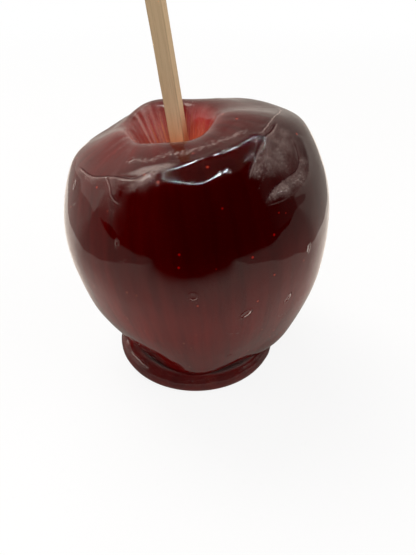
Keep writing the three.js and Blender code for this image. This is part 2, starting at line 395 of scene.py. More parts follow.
def off_line(points, facing, line):
    """Distance of every point to a curve, its share along the curve from 0 to 1, and which
    side it is on: 1 on the curve's left as seen from outside, or -1."""
    start, way = line[:-1], np.diff(line, axis=0)
    length = np.linalg.norm(way, axis=1)
    before = np.concatenate([[0.0], np.cumsum(length)])
    best = np.full(points.shape[:-1], np.inf)
    share, side = np.zeros_like(best), np.ones_like(best)
    for a, w, size, gone in zip(start, way, length, before):
        t = np.clip(((points - a) @ w) / size**2, 0.0, 1.0)
        gap = points - a - t[..., None] * w
        distance = np.linalg.norm(gap, axis=-1)
        nearer = distance < best
        best = np.where(nearer, distance, best)
        share = np.where(nearer, (gone + t * size) / before[-1], share)
        turn = np.sign(np.sum(np.cross(w, gap) * facing, axis=-1))
        side = np.where(nearer, np.where(turn == 0, 1.0, turn), side)
    return best, share, side


def waves(points, wavelength, seed, count=36):
    """Smooth even noise round 0 with a spread of 1, seldom past 2.5: plane cosine waves in
    random ways, added up and divided by the root of half their count."""
    random = np.random.default_rng(seed)
    total = np.zeros(points.shape[:-1])
    for _ in range(count):
        way = random.normal(size=3)
        way *= 2 * math.pi / (wavelength * random.uniform(0.75, 1.35) * np.linalg.norm(way))
        total += np.cos(points @ way + random.uniform(0, 2 * math.pi))
    return total / math.sqrt(count / 2)


def ends(share, soft=0.12):
    """1 along a line, falling to 0 at its two ends."""
    return rise(0, soft, share) * fall(1 - soft, 1, share)


def relief(points, facing, station, angle, sizes):
    """Height of the glossy surface over the plain form, in mm."""
    k, th = over_grid(station, angle)
    body = rise(0.6, 1.6, k) * fall(7.2, 8.2, k)
    foot = rise(7.9, 8.6, k) * fall(12.2, 13, k)
    height = body * (sizes.undulation * waves(points, 17, 3) + 0.010 * waves(points, 5.5, 4))

    # Streaks left by toffee running out of the hollow: noise drawn out along the outline, which
    # fades inside a radius of 34 mm.
    broad = 34
    out = np.clip(spline(PROFILE, station)[:, :1] / broad, 0, 1)
    streak = rise(1.3, 2.1, k) * fall(3.0, 3.7, k) * out**2
    height += sizes.streaks * streak * waves(drawn_out(station, angle, broad, 2.2), 3.4, 7)

    # Lobes that set over each other, and creases that stand up.
    for nodes, depth, before, after, swell, crest in LOBE_EDGES:
        distance, share, side = off_line(points, facing, on_outside(nodes))
        lobe = (distance / crest) ** 2 * np.exp(1 - (distance / crest) ** 2)
        beyond = side > 0
        fold = np.where(beyond, swell * lobe, 0.0)
        fold -= depth * np.exp(-distance / np.where(beyond, after, before))
        height += sizes.fold_height * ends(share, 0.2) * fold
    for nodes, crest, left, right in TENTS:
        distance, share, side = off_line(points, facing, on_outside(nodes))
        slope = np.clip(1 - distance / np.where(side > 0, left, right), 0, 1)
        height += sizes.fold_height * ends(share, 0.2) * crest * slope

    # The swell along the near rim, and the fine wrinkles above it, 1.3 mm apart.
    distance, share, _ = off_line(points, facing, on_outside(CREST))
    height += sizes.crest * rise(0.05, 0.5, share) * fall(0.8, 1, share) * hump(distance, 4.5)
    line = on_outside(FRINGE)
    distance, share, side = off_line(points, facing, line)
    length = np.linalg.norm(np.diff(line, axis=0), axis=1).sum()
    ripple = np.cos(share * length * 2 * math.pi / 1.3 + 2.0 * waves(points, 6, 11))
    ripple *= 0.6 + 0.4 * waves(points, 4, 12)
    height += sizes.wrinkles * ends(share) * hump(distance, 1.5) * ripple

    # Toffee that hangs lower at both sides of the front, over the groove.
    for middle, spread, depth in SAGS:
        away = np.angle(np.exp(1j * (th - math.radians(middle))))
        height += depth * hump(k - 7.7, 0.5) * hump(away, math.radians(spread))

    # Rolls and wrinkles of the toffee that gathered in the groove and on the foot.
    height += foot * (0.07 * waves(points, 8, 21) + 0.012 * waves(points, 2.6, 22))
    nodes, lip, reach = FOOT_LIP
    distance, share, _ = off_line(points, facing, on_outside(nodes))
    height += lip * ends(share) * np.exp(-distance / reach)
    return height


def veil(points, facing, station, angle):
    """How milky the toffee is, which is partly painted reflection: in the stem hollow, with paler
    threads that run down its wall, more on its left; painted reflection along the wrinkles of the
    near rim; at the end of the left fold; and painted reflection in the groove over the foot."""
    k, th = over_grid(station, angle)
    spokes = drawn_out(station, angle, HOLLOW_WIDTH, 0.5)
    threads = np.clip(0.5 + 0.5 * waves(spokes, 0.9, 37) + 0.2 * waves(spokes, 4, 38), 0, 1.5)
    left = np.clip(-np.cos(th - math.radians(SUNNY_SIDE)), 0, 1)
    wall = rise(0.5, 1.3, k) * fall(1.9, 2.6, k)
    hollow = np.clip(wall * (0.015 + 0.15 * left) * (0.4 + threads), 0, 1)
    distance, share, _ = off_line(points, facing, on_outside(FRINGE))
    # Pale wisps along the wrinkles of the near rim: painted reflection.
    wisps = 0.26 * ends(share, 0.05) * hump(distance + 0.5 * waves(points, 1.2, 43), 0.55)
    wisps *= np.clip(0.4 + 0.7 * waves(points, 0.9, 44), 0, 1)
    nodes, milky, reach = FOLD_END
    distance, _, _ = off_line(points, facing, on_outside(nodes))
    # The band at station 9, in the groove over the foot, is painted reflection.
    return hollow + 0.05 * hump(k - 9.0, 0.5) + wisps + milky * hump(distance, reach)


def marks(points, facing, station, angle):
    """The film over the folds, the fringe, the hollow and the foot, from 0 to 1, and for the
    nearest crease the distance to it in mm, positive on its left, how deep its cut and dark its
    painted shade line are, and how strong the painted highlight on its edge is."""
    film = np.zeros(points.shape[:-1])
    best = np.full(points.shape[:-1], np.inf)
    crease = np.zeros(points.shape)
    for nodes, crease_cut_and_painted_shade, painted_highlight, strength, width in CREASES:
        distance, share, side = off_line(points, facing, on_outside(nodes))
        whole = ends(share, 0.10)
        reach = width * (1 - 0.7 * rise(0.5, 1, share))
        cover = whole * (0.55 + 0.45 * hump(share - 0.7, 0.3)) * fall(0.3 * reach, reach, distance)
        film = np.maximum(film, strength * cover * (side > 0))
        nearer = (distance < best) & (crease_cut_and_painted_shade + painted_highlight > 0)
        own = np.stack([distance * side, crease_cut_and_painted_shade * whole, painted_highlight * whole], -1)
        best = np.where(nearer, distance, best)
        crease = np.where(nearer[..., None], own, crease)
    film *= np.clip(0.72 + 0.30 * waves(points, 4.5, 31) + 0.15 * waves(points, 1.6, 32), 0, 1.2)
    # Along the fringe the film's pale specks partly paint a reflection.
    distance, share, _ = off_line(points, facing, on_outside(FRINGE))
    wisps = np.clip(0.45 + 0.5 * waves(points, 1.5, 33) + 0.4 * waves(points, 5, 34), 0, 1)
    film = np.maximum(film, 0.35 * ends(share) * hump(distance, 1.3) * wisps)
    k, _ = over_grid(station, angle)
    spokes = drawn_out(station, angle, HOLLOW_WIDTH, 1)
    threads = np.clip(0.35 + 0.45 * waves(spokes, 1.3, 35) + 0.25 * waves(spokes, 5, 36), 0, 1)
    film = np.maximum(film, 0.25 * threads * rise(0.7, 1.5, k) * fall(2.3, 3.2, k))
    film = np.maximum(film, 0.10 * rise(7.9, 8.6, k))
    return np.clip(film, 0, 1), crease


def bubble_places(points):
    """For each point, in the nearest bubble's own measure: the distances along its long and
    short way and towards the side with its painted highlight, all in its radii, and how bold it
    is. A point has (9, 9, 9) and 0 far from them all."""
    best = np.full(points.shape[:-1], np.inf)
    place = np.full(points.shape, 9.0)
    bold = np.zeros_like(best)
    for degrees, at, long, short, turn, painted_highlight, strength in BUBBLES:
        nearby = [(degrees, at), (degrees + 0.5, at), (degrees, at - 0.01)]
        centre, beside, above = on_outside(nearby, 3)
        level = (beside - centre) / np.linalg.norm(beside - centre)
        up = (above - centre) / np.linalg.norm(above - centre)
        u, v = (points - centre) @ level, (points - centre) @ up
        lean, towards = math.radians(turn), math.radians(painted_highlight)
        distance = np.linalg.norm(points - centre, axis=-1)
        nearer = (distance < best) & (distance < 5 * long)
        own = np.stack([(u * math.cos(lean) + v * math.sin(lean)) / long,
                        (v * math.cos(lean) - u * math.sin(lean)) / short,
                        (u * math.cos(towards) + v * math.sin(towards)) / short], -1)
        best = np.where(nearer, distance, best)
        place = np.where(nearer[..., None], own, place)
        bold = np.where(nearer, strength, bold)
    return place, bold


def stick_frame():
    """Matrix of the stick's own axes as rows, and its point at z = 75 mm."""
    up = np.array([
        -math.tan(math.radians(STICK_LEAN_LEFT)), math.tan(math.radians(STICK_LEAN_BACK)), 1.0,
    ])
    up /= np.linalg.norm(up)
    tilt = Vector((0, 0, 1)).rotation_difference(Vector(up)).to_matrix()
    turn = math.radians(STICK_TURN)
    x = np.array(tilt @ Vector((math.cos(turn), math.sin(turn), 0)))
    y = np.array(tilt @ Vector((-math.sin(turn), math.cos(turn), 0)))
    return np.stack([x, y, up]), STICK_AT


def beside_stick(points):
    """Distance in mm outwards from the stick's square, 0 inside it."""
    axes, at = stick_frame()
    own = (points - at) @ axes.T
    out = np.maximum(np.abs(own[..., :2]) - STICK_SIDE / 2, 0.0)
    return np.linalg.norm(out, axis=-1)


# ------------------------------------------------------------------ meshes


def lathe_faces(rows, columns, first=0, flip=False):
    """Faces of a grid whose first and last rows are single points at either end."""
    ring = np.arange(columns)
    following = np.roll(ring, -1)
    top, start = first, first + 1
    bottom = start + rows * columns
    a = start + np.arange(rows - 1)[:, None] * columns
    quads = np.stack([a + ring, a + columns + ring, a + columns + following, a + following], -1)
    quads = quads.reshape(-1, 4)
    last = start + (rows - 1) * columns
    cap = np.stack([np.full(columns, top), start + ring, start + following], -1)
    base = np.stack([np.full(columns, bottom), last + following, last + ring], -1)
    order = -1 if flip else 1
    return quads[:, ::order].tolist() + np.vstack([cap, base])[:, ::order].tolist()


def closed_ends(values):
    """What each vertex of a grid has, with each end row drawn together into one point."""
    inner = values[1:-1].reshape(-1, *values.shape[2:])
    return np.concatenate([values[:1].mean(1), inner, values[-1:].mean(1)])


def add_piece(name, vertices, faces, materials, values=None, kinds=None):
    """A smooth-shaded mesh object at the origin, from vertices in mm, with its attributes.
    kinds numbers the material of each face."""
    mesh = bpy.data.meshes.new(name)
    mesh.from_pydata((vertices * MM).tolist(), [], faces)
    for key, array in (values or {}).items():
        kind, field = ("FLOAT_VECTOR", "vector") if array.ndim > 1 else ("FLOAT", "value")
        layer = mesh.attributes.new(key, kind, "POINT")
        layer.data.foreach_set(field, array.astype(np.float32).ravel())
    mesh.polygons.foreach_set("use_smooth", np.ones(len(mesh.polygons), bool))
    for material in materials:
        mesh.materials.append(material)
    if kinds is not None:
        mesh.polygons.foreach_set("material_index", kinds)
    mesh.update()
    piece = bpy.data.objects.new(name, mesh)
    bpy.context.scene.collection.objects.link(piece)
    return piece


def core_grid(depth, hollow_depth, columns):
    """Grid of a surface under the gloss: depth mm under it on the body and hollow_depth in
    the stem hollow, closed below by the seat. Returns its points, stations and angles."""
    station = along(CORE_ROWS)
    under = hollow_depth + (depth - hollow_depth) * rise(1.5, 2.6, station)
    radius, height = profile_inside(station, under)
    lift = depth - SEAT_DEPTH
    seat = SEAT + np.array([-lift, lift, 0.0])
    seat[-1, 0] = 0.0
    nodes = np.vstack([[radius[-1], height[-1], SEAT_START], seat])
    tail = spline(nodes, np.linspace(0, len(nodes) - 1, 25)[1:])
    radius = np.concatenate([radius, np.maximum(tail[:, 0], 0)])
    height = np.concatenate([height, tail[:, 1]])
    station = np.concatenate([station, tail[:, 2]])
    angle = around(columns, 0.15)
    return grid(radius, height, station, angle), station, angle


# ------------------------------------------------------------------ materials


class Value:
    """A number, vector or colour on its way between nodes. Arithmetic on it adds the nodes."""

    def __init__(self, socket):
        self.socket, self.tree = socket, socket.id_data

    def math(self, operation, other=0.5, clamp=False):
        """A math node on this value and another."""
        return Value(node(self.tree, "ShaderNodeMath", {0: self, 1: other},
                          operation=operation, use_clamp=clamp).outputs[0])

    def __add__(self, other):
        return self.math("ADD", other)

    def __sub__(self, other):
        return self.math("SUBTRACT", other)

    def __rsub__(self, other):
        return self.math("MULTIPLY", -1.0).math("ADD", other)

    def __mul__(self, other):
        return self.math("MULTIPLY", other)

    def __truediv__(self, other):
        return self.math("DIVIDE", other)


def node(tree, kind, inputs=None, **settings):
    """Adds a node and sets its properties and inputs. A Value or a node given as an input is
    linked to it."""
    made = tree.nodes.new(kind)
    for key, value in settings.items():
        setattr(made, key, value)
    for key, value in (inputs or {}).items():
        if isinstance(value, bpy.types.Node):
            value = Value(value.outputs[0])
        if isinstance(value, Value):
            tree.links.new(value.socket, made.inputs[key])
        else:
            made.inputs[key].default_value = value
    return made


def material_tree(name):
    """A material and its empty node tree."""
    material = bpy.data.materials.new(name)
    material.use_nodes = True
    material.node_tree.nodes.clear()
    return material, material.node_tree


def finish(tree, surface, volume=None, kind="Material"):
    """Links what a tree made to its output."""
    inputs = {"Surface": surface} if volume is None else {"Surface": surface, "Volume": volume}
    node(tree, f"ShaderNodeOutput{kind}", inputs)


def rgba(colour):
    """Four numbers from a colour, or from one number for a grey."""
    return (*colour, 1.0) if hasattr(colour, "__len__") else (colour, colour, colour, 1.0)


def mix_colour(factor, a, b, blend="MIX"):
    """Colour b over colour a."""
    tree = next(value.tree for value in (factor, a, b) if isinstance(value, Value))
    a, b = (value if isinstance(value, Value) else rgba(value) for value in (a, b))
    made = node(tree, "ShaderNodeMix", {0: factor}, data_type="RGBA", blend_type=blend)
    for name, value in (("A", a), ("B", b)):
        socket = next(s for s in made.inputs if s.name == name and s.type == "RGBA")
        if isinstance(value, Value):
            tree.links.new(value.socket, socket)
        else:
            socket.default_value = value
    return Value(next(s for s in made.outputs if s.type == "RGBA"))


def ramp(value, stops):
    """A colour ramp over (position, colour) stops."""
    made = node(value.tree, "ShaderNodeValToRGB", {0: value})
    elements = made.color_ramp.elements
    while len(elements) < len(stops):
        elements.new(0.5)
    for element, (position, colour) in zip(elements, stops):
        element.position, element.color = position, rgba(colour)
    return Value(made.outputs[0])


def span(value, low, high, start, end):
    """Smooth step of a value from start, at low, to end, at high."""
    return Value(node(value.tree, "ShaderNodeMapRange", {
        "Value": value, "From Min": low, "From Max": high, "To Min": start, "To Max": end},
        interpolation_type="SMOOTHSTEP").outputs[0])


def band(value, middle, width):
    """1 where a value is at the middle, falling smoothly to 0 a width away on both sides."""
    return span((value - middle).math("ABSOLUTE"), 0.0, width, 1.0, 0.0)


def noise(place, scale, detail, roughness=0.5, stretch=None):
    """Noise from 0 to 1 over a place, which may be stretched first."""
    if stretch:
        place = node(place.tree, "ShaderNodeMapping", {"Vector": place, "Scale": stretch})
        place = Value(place.outputs[0])
    return Value(node(place.tree, "ShaderNodeTexNoise", {
        "Vector": place, "Scale": scale, "Detail": detail, "Roughness": roughness}).outputs["Fac"])


def attribute(tree, name, output="Fac"):
    """What the mesh carries under a name."""
    return Value(node(tree, "ShaderNodeAttribute", attribute_name=name).outputs[output])


def object_place(tree):
    """The place on the object, in metres."""
    return Value(node(tree, "ShaderNodeTexCoord").outputs["Object"])


def three(vector):
    """The three numbers of a vector."""
    made = node(vector.tree, "ShaderNodeSeparateXYZ", {"Vector": vector})
    return [Value(socket) for socket in made.outputs]


def is_ray(tree, kind):
    """1 for one kind of ray, such as Camera or Shadow, and 0 for the rest."""
    return Value(node(tree, "ShaderNodeLightPath").outputs[f"Is {kind} Ray"])


def skin_material(colours):
    """Apple skin: dark red with lengthwise flecks, orange streaks in the hollow, pale dots."""
    material, tree = material_tree("apple_skin_red")
    flow, depth = attribute(tree, "flow", "Vector"), attribute(tree, "hollow")
    flecks = noise(flow, 1.0, 5, 0.62, (9, 9, 0.55))
    hairs = noise(flow, 1.0, 4, 0.6, (26, 26, 0.8))
    patchy = ramp(flecks, [(0.30, 0.45), (0.70, 1)])
    # The blush mixes the dark and the light red: partly the skin's own blush, partly painted light
    # and shade.
    blush = attribute(tree, "blush").math("MULTIPLY", patchy, clamp=True)
    body = mix_colour(blush, colours.skin_dark_and_painted_shade, colours.skin_light_and_painted_light)
    hollow = ramp(depth + (hairs - 0.5) * 1.5, [
        (0.05, colours.skin_light_and_painted_light), (0.30, colours.hollow_red),
        (0.52, colours.hollow_orange), (0.80, colours.hollow_yellow)])
    colour = mix_colour(depth.math("MULTIPLY", 2.6, clamp=True), body, hollow)
    cells = node(tree, "ShaderNodeTexVoronoi", {
        "Vector": object_place(tree), "Scale": 210.0, "Randomness": 1.0})
    dots = ramp(Value(cells.outputs["Distance"]), [(0.045, 1), (0.095, 0)])
    colour = mix_colour(dots * 0.85, colour, colours.dots)
    finish(tree, node(tree, "ShaderNodeBsdfPrincipled", {
        "Base Color": colour, "Roughness": 0.5, "Specular IOR Level": 0.15}))
    return material


def toffee_material(colours):
    """Clear hard toffee: glass that takes up green and blue in its depth. The folds have a fine
    grain of pale specks, broken bubbles a pit with a painted highlight on one side of its rim and
    a painted shade line outside it, and creases a painted shade line with a painted highlight on
    the edge beside it. Lamps reach what is under the toffee."""
    material, tree = material_tree("toffee_clear_red")
    place = object_place(tree)
    grain, skin = noise(place, 2500.0, 2), noise(place, 420.0, 2)
    film, bold = attribute(tree, "film"), attribute(tree, "bubble_bold")

    # A bubble is measured in its own radii: gap from its middle, and its share towards the side
    # with the painted highlight.
    u, v, w = three(attribute(tree, "bubble", "Vector"))
    gap = (u * u + v * v).math("SQRT")
    towards_painted_highlight = span(w / gap, 0.15, 0.85, 0.0, 1.0)
    pit = span(gap, 0.15, 1.05, -1.0, 0.0) + band(gap, 1.15, 0.35) * 0.35

    # A crease is measured in mm from its line.
    off, crease_cut_and_painted_shade, painted_highlight = three(attribute(tree, "crease", "Vector"))
    cut = span(off, -0.5, 0.25, 0.0, 1.0) * span(off, 0.25, 1.6, 1.0, 0.0)
    lifted = grain * film * 0.03 + skin * 0.0008 + pit * (bold * 0.5) + cut * (crease_cut_and_painted_shade * 0.12)
    bump = node(tree, "ShaderNodeBump", {"Height": lifted, "Strength": 1.0, "Distance": 0.001})
    rough = node(tree, "ShaderNodeMapRange", {
        "Value": film, "To Min": colours.gloss, "To Max": colours.haze_roughness})
    clear = node(tree, "ShaderNodeBsdfPrincipled", {
        "Base Color": rgba(1.0), "Roughness": rough, "IOR": 1.5,
        "Transmission Weight": 1.0, "Normal": bump})

    specks = film * ramp(grain, [(0.30, 0.16), (0.56, 0.30), (0.70, 1)])
    # Painted highlights, drawn in the pale froth: on one side of each bubble's rim and on the edge
    # beside a crease.
    painted_rim_highlight = band(gap, 0.84, 0.3) * towards_painted_highlight * (bold * 0.75)
    painted_edge_highlight = band(off, 0.36, 0.34) * (painted_highlight * 0.22)
    froth_and_painted_light_share = attribute(tree, "veil") + specks * 0.48
    froth_and_painted_light_share = froth_and_painted_light_share.math("MAXIMUM", painted_rim_highlight.math("MAXIMUM", painted_edge_highlight))
    # Painted shade, drawn in the dark red of the skin: a line outside each bubble's rim and along
    # each crease.
    painted_rim_shade = band(gap, 1.28, 0.26) * towards_painted_highlight * (bold * 0.6)
    painted_crease_shade = band(off, -0.18, 0.36) * (crease_cut_and_painted_shade * 0.75)
    froth_and_painted_light = node(tree, "ShaderNodeBsdfDiffuse", {"Color": rgba(colours.froth_and_painted_light)})
    shadow = node(tree, "ShaderNodeBsdfDiffuse", {"Color": rgba(colours.skin_dark_and_painted_shade)})
    clear_froth_and_painted_light = node(tree, "ShaderNodeMixShader", {0: froth_and_painted_light_share, 1: clear, 2: froth_and_painted_light})
    lined = node(tree, "ShaderNodeMixShader", {
        0: painted_rim_shade.math("MAXIMUM", painted_crease_shade), 1: clear_froth_and_painted_light, 2: shadow})
    surface = node(tree, "ShaderNodeMixShader", {
        0: is_ray(tree, "Shadow"), 1: lined, 2: node(tree, "ShaderNodeBsdfTransparent")})
    finish(tree, surface, node(tree, "ShaderNodeVolumeAbsorption", {
        "Color": rgba(colours.toffee_tint), "Density": colours.toffee_density}))
    return material


def underside_material(colours):
    """Matte dark red of the sole, where the toffee set against the tray."""
    material, tree = material_tree("toffee_underside")
    patches = ramp(noise(object_place(tree), 180.0, 3), [(0.35, 0), (0.65, 1)])
    colour = mix_colour(patches, colours.underside, colours.underside_light)
    finish(tree, node(tree, "ShaderNodeBsdfPrincipled", {"Base Color": colour, "Roughness": 0.6}))
    return material


def wood_material(colours):
    """Pale straight-grained wood, darker at the arrises, warmer and darker low in the hollow:
    partly damp with toffee, partly painted red light bounced from the hollow.
    """
    material, tree = material_tree("stick_birch")
    own = attribute(tree, "own", "Vector")
    bands = ramp(noise(own, 1.0, 4, 0.6, (1.1, 1.1, 0.03)), [(0.30, 0), (0.70, 1)])
    pores = noise(own, 1.0, 3, 0.7, (5.0, 5.0, 0.12))
    colour = mix_colour(bands, colours.wood_dark, colours.wood_light)
    colour = mix_colour(ramp(pores, [(0.30, 1), (0.46, 0)]) * 0.45, colour, colours.wood_pores)
    colour = mix_colour(attribute(tree, "arris") * 0.55, colour, colours.wood_pores)
    # Warmer and darker low in the hollow: partly damp with toffee, partly painted red bounce light.
    colour = mix_colour(attribute(tree, "damp"), colour, colours.wood_damp_and_painted_bounce, "MULTIPLY")
    bump = node(tree, "ShaderNodeBump", {"Height": pores, "Strength": 0.5, "Distance": 0.00015})
    finish(tree, node(tree, "ShaderNodeBsdfPrincipled", {
        "Base Color": colour, "Roughness": 0.72, "Specular IOR Level": 0.3, "Normal": bump}))
    return material


# ------------------------------------------------------------------ settings


class ToffeeAppleSizes(bpy.types.PropertyGroup):
    coat: bpy.props.FloatProperty(
        name="Coat", description="Thickness of toffee over the apple's skin, in mm",
        default=1.65, min=0.8, max=3.0)
    hollow_coat: bpy.props.FloatProperty(
        name="Coat in Hollow", description="Thickness of toffee in the stem hollow, in mm",
        default=0.35, min=0.3, max=2.0)
    undulation: bpy.props.FloatProperty(
        name="Undulation", description="Slow waves of the gloss, in mm",
        default=0.045, min=0.0, max=0.5)
    streaks: bpy.props.FloatProperty(
        name="Streaks", description="Height of the runs round the hollow, in mm",
        default=0.015, min=0.0, max=0.2)
    fold_height: bpy.props.FloatProperty(
        name="Fold Height", description="Share of the folds' full height",
        default=1.0, min=0.0, max=2.0, subtype="FACTOR")
    crest: bpy.props.FloatProperty(
        name="Crest", description="Height of the swell along the near rim, in mm",
        default=0.42, min=0.0, max=1.0)
    wrinkles: bpy.props.FloatProperty(
        name="Wrinkles", description="Height of the fine wrinkles on the near rim, in mm",
        default=0.025, min=0.0, max=0.4)
    meniscus: bpy.props.FloatProperty(
        name="Meniscus", description="How far the toffee climbs the stick, in mm",
        default=1.5, min=0.0, max=4.0)


class ToffeeAppleColours(bpy.types.PropertyGroup):
    # The dark end of the skin's blush, partly painted shade, and the colour of the painted shade
    # lines in the toffee.
    skin_dark_and_painted_shade: bpy.props.FloatVectorProperty(
        name="Skin Dark", description="Darker red of the apple's skin",
        subtype="COLOR", default=(0.026, 0.002, 0.004), min=0, max=1)
    skin_light_and_painted_light: bpy.props.FloatVectorProperty(
        # The light end of the skin's blush, partly painted light.
        name="Skin Light", description="Lighter red of the apple's skin",
        subtype="COLOR", default=(0.42, 0.040, 0.022), min=0, max=1)
    hollow_red: bpy.props.FloatVectorProperty(
        name="Hollow Red", description="Red at the rim of the stem hollow",
        subtype="COLOR", default=(0.50, 0.15, 0.11), min=0, max=1)
    hollow_orange: bpy.props.FloatVectorProperty(
        name="Hollow Orange", description="Orange part of the way into the hollow",
        subtype="COLOR", default=(0.50, 0.24, 0.10), min=0, max=1)
    hollow_yellow: bpy.props.FloatVectorProperty(
        name="Hollow Yellow", description="Yellow deep in the stem hollow",
        subtype="COLOR", default=(0.80, 0.56, 0.18), min=0, max=1)
    dots: bpy.props.FloatVectorProperty(
        name="Dots", description="Small pale dots in the skin",
        subtype="COLOR", default=(0.80, 0.26, 0.10), min=0, max=1)
    underside: bpy.props.FloatVectorProperty(
        name="Underside", description="Matte sole of the toffee",
        subtype="COLOR", default=(0.34, 0.05, 0.05), min=0, max=1)
    underside_light: bpy.props.FloatVectorProperty(
        name="Underside Patches", description="Paler patches of the sole",
        subtype="COLOR", default=(0.55, 0.10, 0.09), min=0, max=1)
    toffee_tint: bpy.props.FloatVectorProperty(
        name="Toffee Tint", description="Colour that the toffee lets through best",
        subtype="COLOR", default=(0.93, 0.13, 0.28), min=0, max=1)
    toffee_density: bpy.props.FloatProperty(
        name="Toffee Density", description="How fast the toffee takes up light, for each metre",
        default=1400.0, min=0.0, max=10000.0)
    # Pale specks of the folds, and the colour of the painted highlights on bubbles and creases and
    # of the milky toffee that is partly painted reflection.
    froth_and_painted_light: bpy.props.FloatVectorProperty(
        name="Froth", description="Pale specks of the folds and edges of broken bubbles",
        subtype="COLOR", default=(0.85, 0.67, 0.61), min=0, max=1)
    gloss: bpy.props.FloatProperty(
        name="Gloss", description="Roughness of the clear gloss", default=0.02, min=0.0, max=0.3)
    haze_roughness: bpy.props.FloatProperty(
        name="Haze", description="Roughness of the hazy folds", default=0.14, min=0.0, max=0.8)
    wood_light: bpy.props.FloatVectorProperty(
        name="Wood Light", description="Lighter bands of the stick",
        subtype="COLOR", default=(0.72, 0.53, 0.325), min=0, max=1)
    wood_dark: bpy.props.FloatVectorProperty(
        name="Wood Dark", description="Darker bands of the stick",
        subtype="COLOR", default=(0.63, 0.45, 0.265), min=0, max=1)
    wood_pores: bpy.props.FloatVectorProperty(
        name="Wood Pores", description="Pores and worn arrises of the stick",
        subtype="COLOR", default=(0.38, 0.255, 0.15), min=0, max=1)
    # Tint of the stick low in the hollow: partly damp, partly painted red bounce light.
    wood_damp_and_painted_bounce: bpy.props.FloatVectorProperty(
        name="Wood Damp", description="Tint of the stick low in the hollow",
        subtype="COLOR", default=(1.0, 0.55, 0.32), min=0, max=1)


class ToffeeAppleStage(bpy.types.PropertyGroup):
    board: bpy.props.FloatProperty(
        name="Board", description="How pale the lit board is in the gloss",
        default=0.62, min=0.0, max=2.0)
    beside: bpy.props.FloatProperty(
        name="Beside the Board", description="How pale the floor past the board is in the gloss",
        default=0.27, min=0.0, max=2.0)
    floor_behind: bpy.props.FloatProperty(
        name="Floor Behind", description="How many times paler the board is behind the apple",
        default=1.9, min=0.0, max=5.0)
    room: bpy.props.FloatProperty(
        name="Room", description="How pale the room is at the back",
        default=0.52, min=0.0, max=2.0)
    room_left: bpy.props.FloatProperty(
        name="Room Left", description="How much paler the room is on its left",
        default=0.35, min=0.0, max=4.0)
    strip: bpy.props.FloatProperty(
        name="Strip Light", description="Brightness of the strip light high at the back",
        default=0.20, min=0.0, max=20.0)
    window_left: bpy.props.FloatProperty(
        name="Left Window", description="Brightness of the window high on the left",
        default=3.4, min=0.0, max=20.0)
    window_right: bpy.props.FloatProperty(
        name="Right Window", description="Brightness of the window high on the right",
        default=0.3, min=0.0, max=20.0)
    lamp_string: bpy.props.FloatProperty(
        name="Lamp String", description="Brightness of the small lamps overhead",
        default=90.0, min=0.0, max=500.0)
    light_tint: bpy.props.FloatVectorProperty(
        name="Light Tint", description="Warmth of the surroundings",
        subtype="COLOR", default=(1.0, 0.90, 0.80), min=0, max=1)
    key_power: bpy.props.FloatProperty(
        name="Key Power", description="Power of the large lamp behind", unit="POWER",
        default=4.0, min=0.0, max=200.0)
    side_power: bpy.props.FloatProperty(
        name="Side Power", description="Power of the lamp on the left", unit="POWER",
        default=1.2, min=0.0, max=200.0)
    fill_power: bpy.props.FloatProperty(
        name="Fill Power", description="Power of the soft lamp in front", unit="POWER",
        default=1.1, min=0.0, max=200.0)
    right_power: bpy.props.FloatProperty(
        name="Right Power", description="Power of the lamp on the right", unit="POWER",
        default=2.6, min=0.0, max=200.0)
    floor: bpy.props.FloatProperty(
        name="Floor", description="How pale the floor is", default=1.0, min=0.0, max=1.0)


# ------------------------------------------------------------------ operators


def sizes():
    return bpy.context.scene.toffee_apple_sizes


def colours():
    return bpy.context.scene.toffee_apple_colours


class TOFFEEAPPLE_OT_apple(bpy.types.Operator):
    """Builds the apple, with its red skin and its streaked stem hollow"""

    bl_idname = "toffee_apple.apple"
    bl_label = "Apple"

    def execute(self, context):
        s = sizes()
        points, station, angle = core_grid(s.coat, s.hollow_coat, APPLE_COLUMNS)
        k, th = over_grid(station, angle)
        side = 0.5 + 0.5 * np.cos(th - math.radians(SUNNY_SIDE))
        hollow = fall(0.6, 2.35, k) * (0.72 + 0.28 * side) + 0.05 * side * fall(1.5, 3, k)
        left = np.clip(np.cos(th - math.radians(PAINTED_LIGHT_SIDE)), 0, 1) ** 2
        # Blush, partly painted light: lighter round the rim, lighter low down where the floor would
        # light the skin, lighter on the left where the light comes from, darkest round the middle
        # height away from the left.
        blush = (0.08 + 0.26 * fall(2.6, 3.7, k) + rise(4.7, 6.2, k) * (0.72 + left)
                 + 0.40 * left * fall(5, 6, k))
        values = {"flow": drawn_out(station, angle, 1, 1), "hollow": hollow, "blush": blush}
        piece = add_piece(
            "apple_skin", closed_ends(points), lathe_faces(len(station) - 2, len(angle)),
            [skin_material(colours())], {key: closed_ends(v) for key, v in values.items()})
        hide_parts("apple")
        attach(piece, "root")
        return {"FINISHED"}


